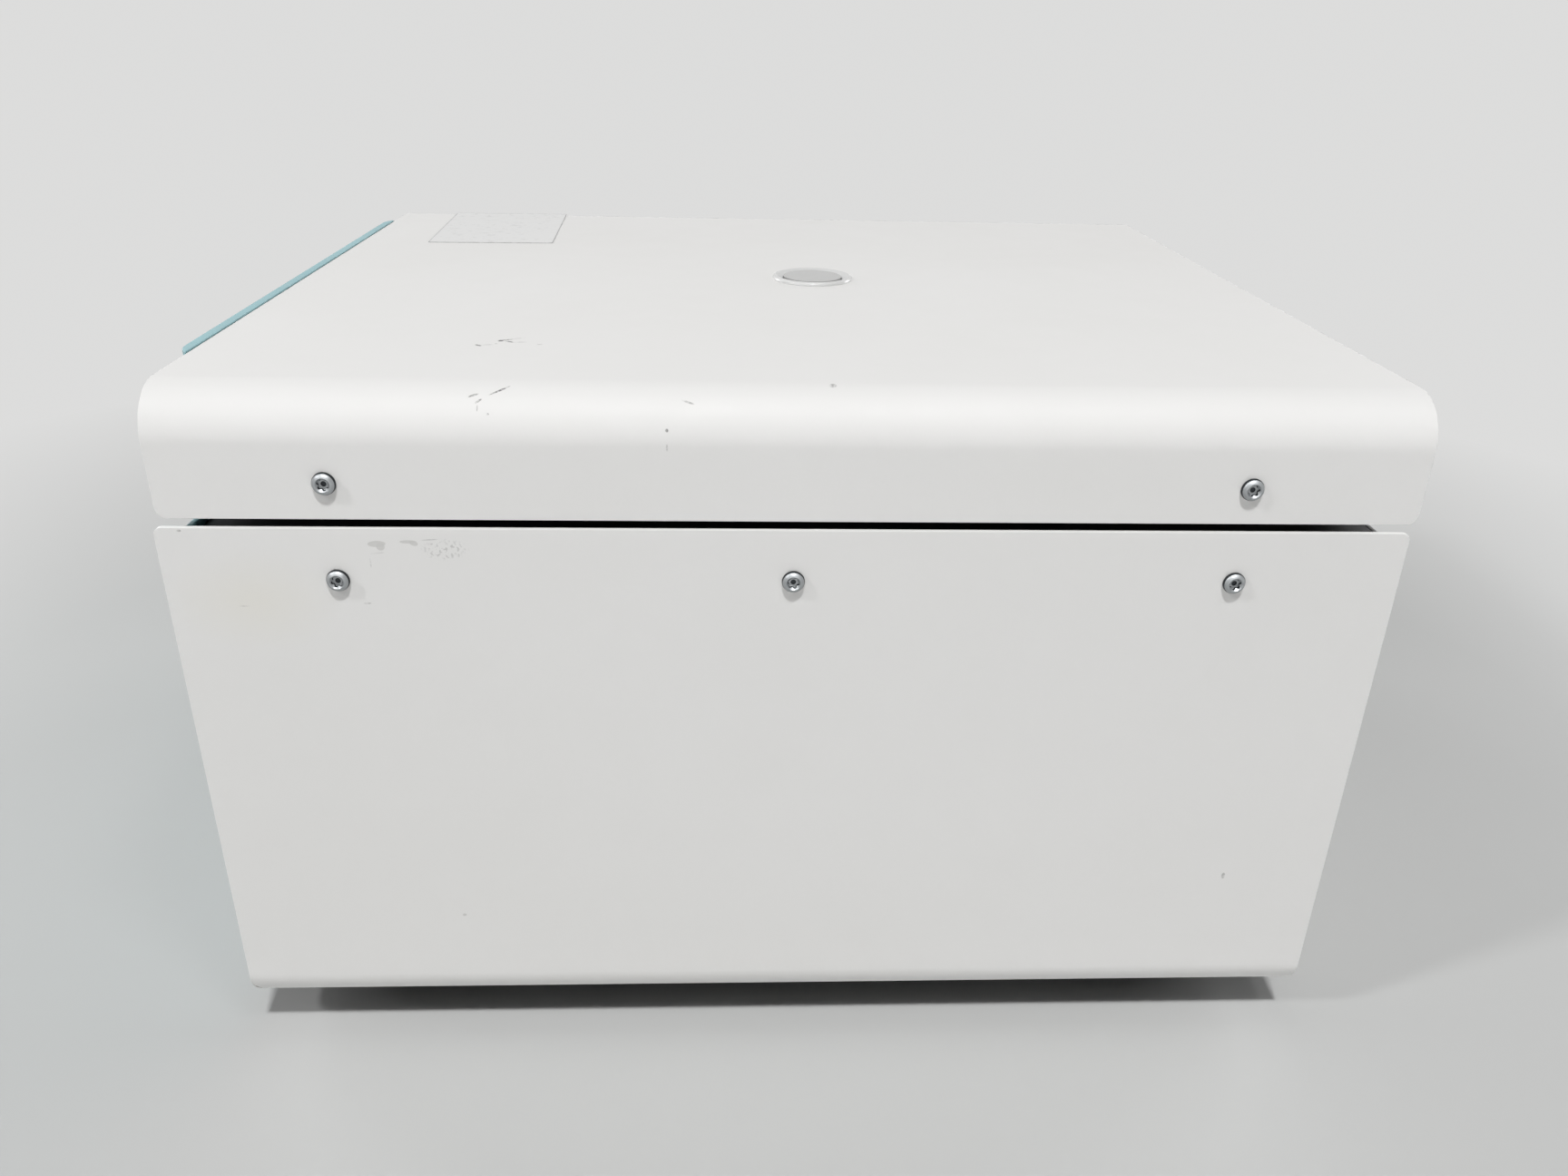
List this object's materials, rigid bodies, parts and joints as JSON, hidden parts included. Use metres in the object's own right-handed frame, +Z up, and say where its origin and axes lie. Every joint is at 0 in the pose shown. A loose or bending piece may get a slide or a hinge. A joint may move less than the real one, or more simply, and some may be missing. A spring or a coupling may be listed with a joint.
{
  "type": "benchtop centrifuge",
  "caption": "Box-shaped benchtop centrifuge with a hinged sheet-metal lid, round viewing port, swing-out rotor and a recessed front control bay.",
  "frame": {"origin": "on the surface the feet stand on, under the middle of the case", "axes": "+Z up, front face towards -Y, +X to the right of someone facing the rear from the front"},
  "size_m": [0.3892, 0.434, 0.276],
  "materials": {
    "case_paint": "satin powder coat, off-white",
    "teal_plastic": "satin moulded plastic, light teal",
    "black_plastic": "matt black",
    "black_paint": "matt black powder coat",
    "zinc": "bright zinc plate",
    "stainless": "brushed stainless steel",
    "plain_steel": "zinc-coated steel",
    "aluminium": "anodised, satin",
    "rubber": "matt black",
    "clear_plastic": "clear, polished",
    "smoked_plastic": "smoked, glossy",
    "grey_plastic": "light grey, satin",
    "circuit_board": "green solder mask"
  },
  "bodies": {
    "base": {"base_shell": "case_paint", "front_panel": "teal_plastic", "rear_panel": "case_paint", "top_deck": "black_paint", "chassis_plate": "plain_steel", "lock_housing": "black_plastic", "control_board": "circuit_board", "display_window": "smoked_plastic", "mains_inlet": "black_plastic", "switch_body": "black_plastic", "side_screw_1": "zinc", "side_screw_2": "zinc", "side_screw_3": "zinc", "side_screw_4": "zinc", "side_screw_5": "zinc", "side_screw_6": "zinc", "foot_1": "rubber", "foot_2": "rubber", "foot_3": "rubber", "foot_4": "rubber", "chamber_bowl": "stainless", "lid_seal": "rubber", "guard_ring": "plain_steel", "motor_housing": "aluminium", "lower_bearing": "plain_steel", "upper_bearing": "plain_steel", "shaft_boot": "rubber", "damper_1": "rubber", "damper_2": "rubber", "damper_3": "rubber", "hinge_bracket_left": "plain_steel", "hinge_bracket_right": "plain_steel", "hinge_pin_left": "plain_steel", "hinge_pin_right": "plain_steel"},
    "lid": {"lid_shell": "case_paint", "lid_front_trim": "teal_plastic", "lid_liner": "black_plastic", "window_port": "clear_plastic", "window_lens": "clear_plastic", "lid_striker": "plain_steel", "lid_screw_1": "zinc", "lid_screw_2": "zinc", "lid_screw_3": "zinc", "lid_screw_4": "zinc", "hinge_leaf_left": "plain_steel", "hinge_leaf_right": "plain_steel"},
    "rotor": {"rotor_head": "aluminium", "rotor_nut": "aluminium", "drive_shaft": "plain_steel", "motor_armature": "plain_steel"},
    "bucket_1": {"bucket_1": "aluminium"},
    "bucket_2": {"bucket_2": "aluminium"},
    "bucket_3": {"bucket_3": "aluminium"},
    "bucket_4": {"bucket_4": "aluminium"},
    "speed_knob": {"speed_knob": "grey_plastic"},
    "start_key": {"start_key": "grey_plastic"},
    "stop_key": {"stop_key": "grey_plastic"},
    "lid_key": {"lid_key": "grey_plastic"},
    "power_rocker": {"power_rocker": "black_plastic"},
    "lock_bolt": {"lock_bolt": "plain_steel"}
  },
  "joints": [
    {"name": "lid_hinge", "type": "hinge", "parent": "base", "child": "lid", "pos_m": [0, 0.213, 0.229], "axis": [-1, 0, 0], "range_deg": [0, 80]},
    {"name": "rotor_spin", "type": "hinge", "parent": "base", "child": "rotor", "pos_m": [0, 0.016, 0.1906], "axis": [0, 0, 1], "continuous": true},
    {"name": "bucket_swing_1", "type": "hinge", "parent": "rotor", "child": "bucket_1", "pos_m": [0.08, 0.016, 0.1906], "axis": [0, -1, 0], "range_deg": [0, 90]},
    {"name": "bucket_swing_2", "type": "hinge", "parent": "rotor", "child": "bucket_2", "pos_m": [0, 0.096, 0.1906], "axis": [1, 0, 0], "range_deg": [0, 90]},
    {"name": "bucket_swing_3", "type": "hinge", "parent": "rotor", "child": "bucket_3", "pos_m": [-0.08, 0.016, 0.1906], "axis": [0, 1, 0], "range_deg": [0, 90]},
    {"name": "bucket_swing_4", "type": "hinge", "parent": "rotor", "child": "bucket_4", "pos_m": [0, -0.064, 0.1906], "axis": [-1, 0, 0], "range_deg": [0, 90]},
    {"name": "knob_turn", "type": "hinge", "parent": "base", "child": "speed_knob", "pos_m": [0.078, -0.207, 0.176], "axis": [0, -1, 0], "continuous": true},
    {"name": "start_key_press", "type": "slide", "parent": "base", "child": "start_key", "axis": [0, 1, 0], "range_m": [0, 0.0015], "stiffness_N_per_m": 400},
    {"name": "stop_key_press", "type": "slide", "parent": "base", "child": "stop_key", "axis": [0, 1, 0], "range_m": [0, 0.0015], "stiffness_N_per_m": 400},
    {"name": "lid_key_press", "type": "slide", "parent": "base", "child": "lid_key", "axis": [0, 1, 0], "range_m": [0, 0.0015], "stiffness_N_per_m": 400},
    {"name": "rocker_tip", "type": "hinge", "parent": "base", "child": "power_rocker", "pos_m": [-0.07, 0.20425, 0.06], "axis": [1, 0, 0], "range_deg": [0, 16]},
    {"name": "bolt_slide", "type": "slide", "parent": "base", "child": "lock_bolt", "axis": [-1, 0, 0], "range_m": [0, 0.009], "stiffness_N_per_m": 150}
  ]
}
